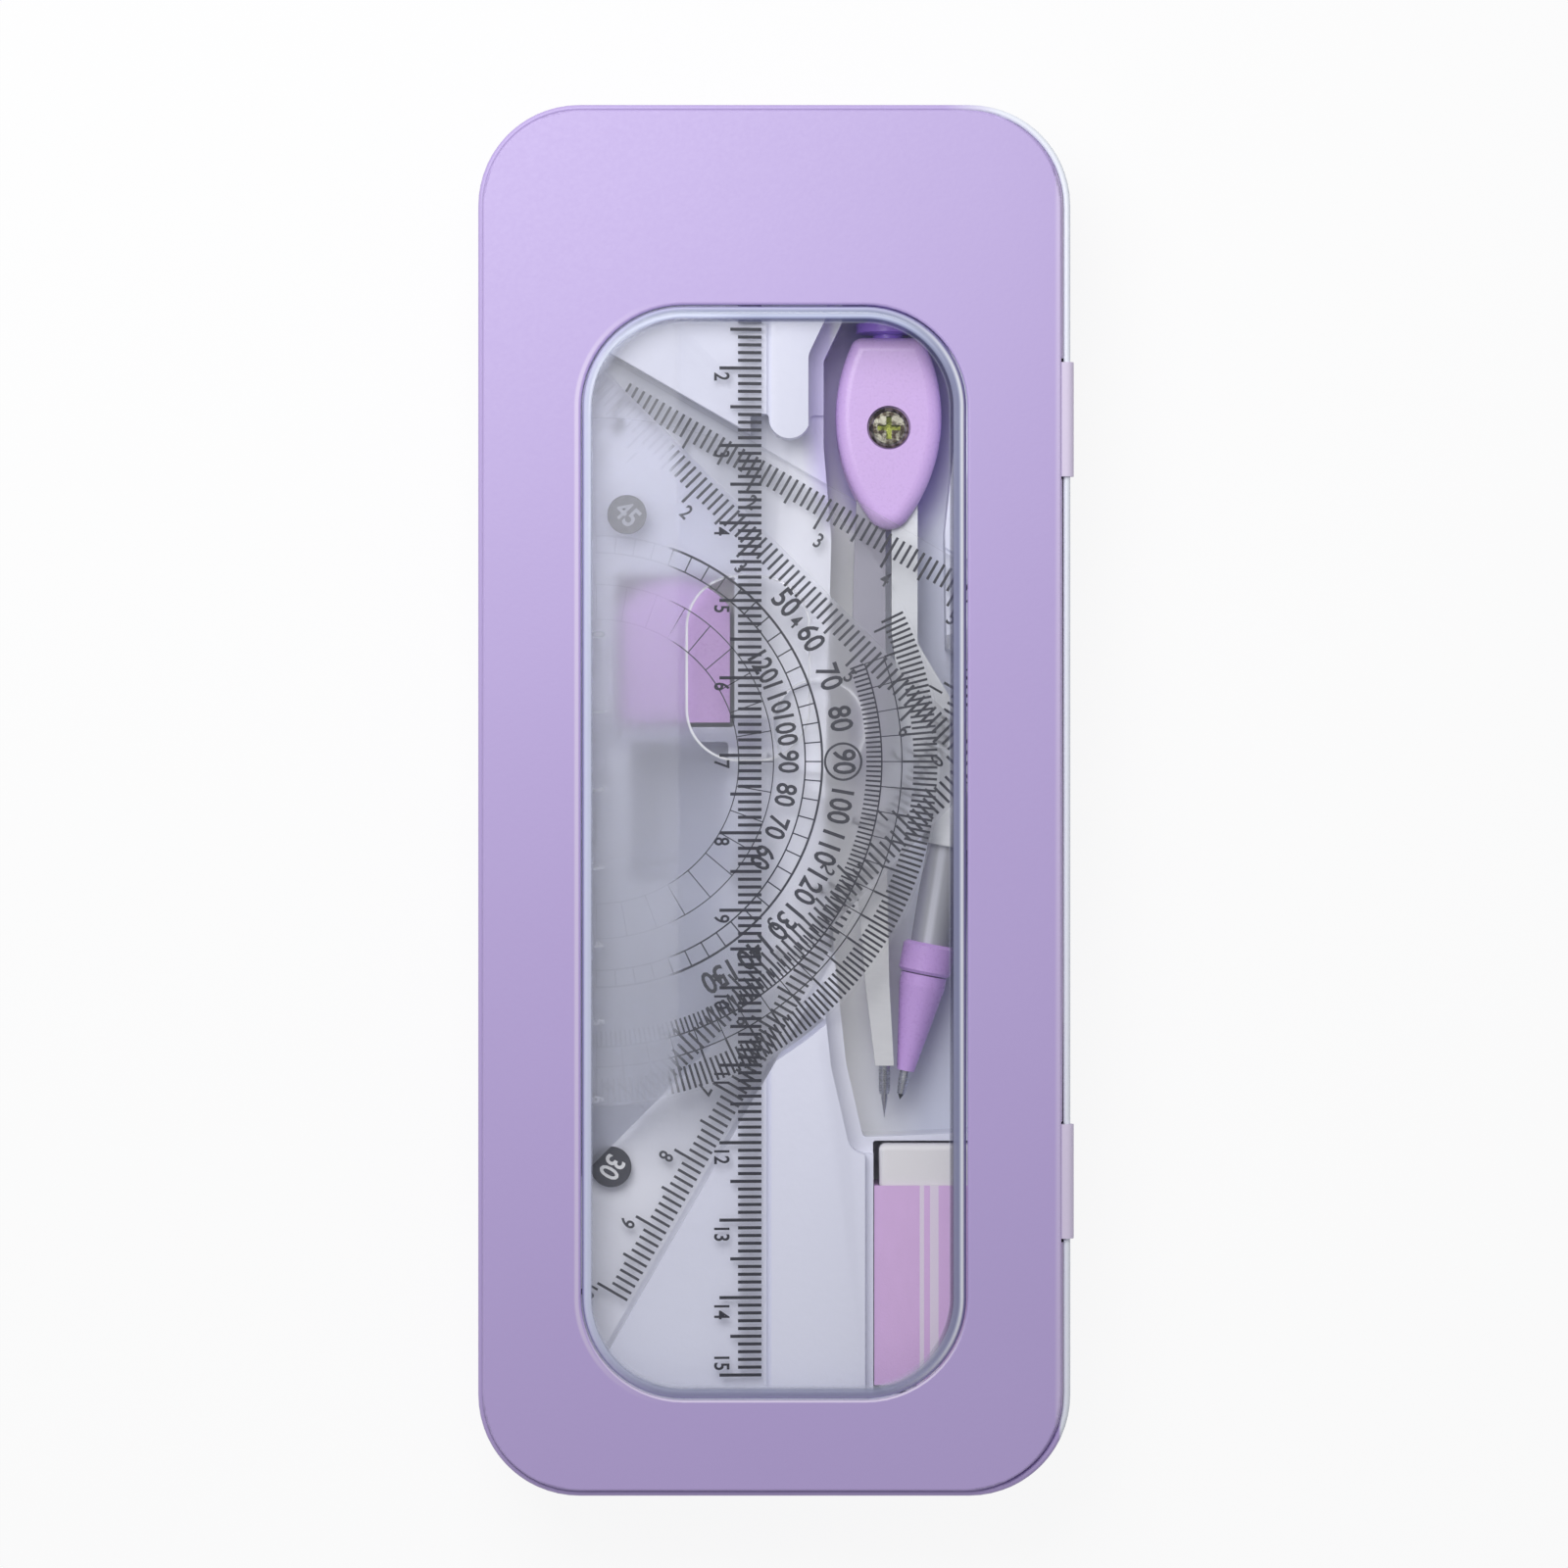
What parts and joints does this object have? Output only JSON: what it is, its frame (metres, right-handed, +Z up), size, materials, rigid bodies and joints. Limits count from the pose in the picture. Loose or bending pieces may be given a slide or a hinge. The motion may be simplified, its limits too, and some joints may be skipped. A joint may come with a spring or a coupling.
{
  "type": "drafting instrument case",
  "caption": "Hinged lavender tin with a clear window lid over a white tray holding a compass, ruler, set squares, protractor, eraser and sharpener.",
  "frame": {"origin": "middle of the flat underside of the tin, on the surface it rests on", "axes": "+X runs across the case towards the hinge side, +Y along the case towards the end where the compass handle lies, +Z up out of the lid"},
  "size_m": [0.0766, 0.179, 0.0182],
  "materials": {
    "lavender_paint": "satin lavender enamel on tin plate",
    "clear_sheet": "clear formed plastic sheet",
    "tray_white": "formed white plastic sheet with a faint blue tone",
    "clear_tool": "clear moulded plastic with printed graduations",
    "eraser_white": "matte white vinyl eraser",
    "sleeve_card": "plain pink-lilac card",
    "pink_plastic": "moulded pink plastic",
    "blade_steel": "ground steel",
    "lilac_plastic": "pinkish lilac plastic",
    "purple_plastic": "darker purple plastic",
    "screw_brass": "dull plated brass",
    "steel": "bright steel",
    "leg_metal": "cast light alloy with a bright satin plating",
    "barrel_grey": "grey plastic barrel",
    "graphite": "graphite lead"
  },
  "bodies": {
    "case": {"base_tin": "lavender_paint", "tray": "tray_white", "ruler": "clear_tool", "protractor": "clear_tool", "set_square_45": "clear_tool", "set_square_60": "clear_tool", "eraser_block": "eraser_white", "sharpener_body": "pink_plastic", "sharpener_blade": "blade_steel", "sharpener_screw": "blade_steel", "compass_front_cap": "lilac_plastic", "compass_back_cap": "lilac_plastic", "compass_handle": "purple_plastic", "compass_pivot_screw": "screw_brass", "compass_pivot_nut": "screw_brass", "compass_washer": "steel"},
    "lid": {"lid_tin": "lavender_paint", "window_pane": "clear_sheet"},
    "needle_leg": {"needle_leg": "leg_metal", "needle_ferrule": "steel", "needle": "steel"},
    "pencil_leg": {"pencil_leg": "leg_metal", "lead_barrel": "barrel_grey", "lead_collar": "purple_plastic", "lead_collet": "screw_brass", "lead_stick": "graphite"},
    "nose": {"nose_cone": "purple_plastic", "nose_tip": "steel"},
    "sleeve": {"eraser_sleeve": "sleeve_card"}
  },
  "joints": [
    {"name": "lid_hinge", "type": "hinge", "parent": "case", "child": "lid", "pos_m": [0.03765, 0, 0.01685], "axis": [0, 1, 0], "range_deg": [0, 120]},
    {"name": "needle_leg_swing", "type": "hinge", "parent": "case", "child": "needle_leg", "pos_m": [0.0149, 0.0485, 0.0052], "axis": [0, 0, -1], "range_deg": [0, 2]},
    {"name": "pencil_leg_swing", "type": "hinge", "parent": "case", "child": "pencil_leg", "pos_m": [0.0149, 0.0485, 0.0052], "axis": [0, 0, 1], "range_deg": [0, 4]},
    {"name": "nose_cone_turn", "type": "hinge", "parent": "pencil_leg", "child": "nose", "pos_m": [0.02, -0.0208, 0.0052], "axis": [0.1908, 0.9816, 0], "continuous": true},
    {"name": "eraser_sleeve_slide", "type": "slide", "parent": "case", "child": "sleeve", "axis": [0, 1, 0], "range_m": [0, 0.0025]}
  ]
}
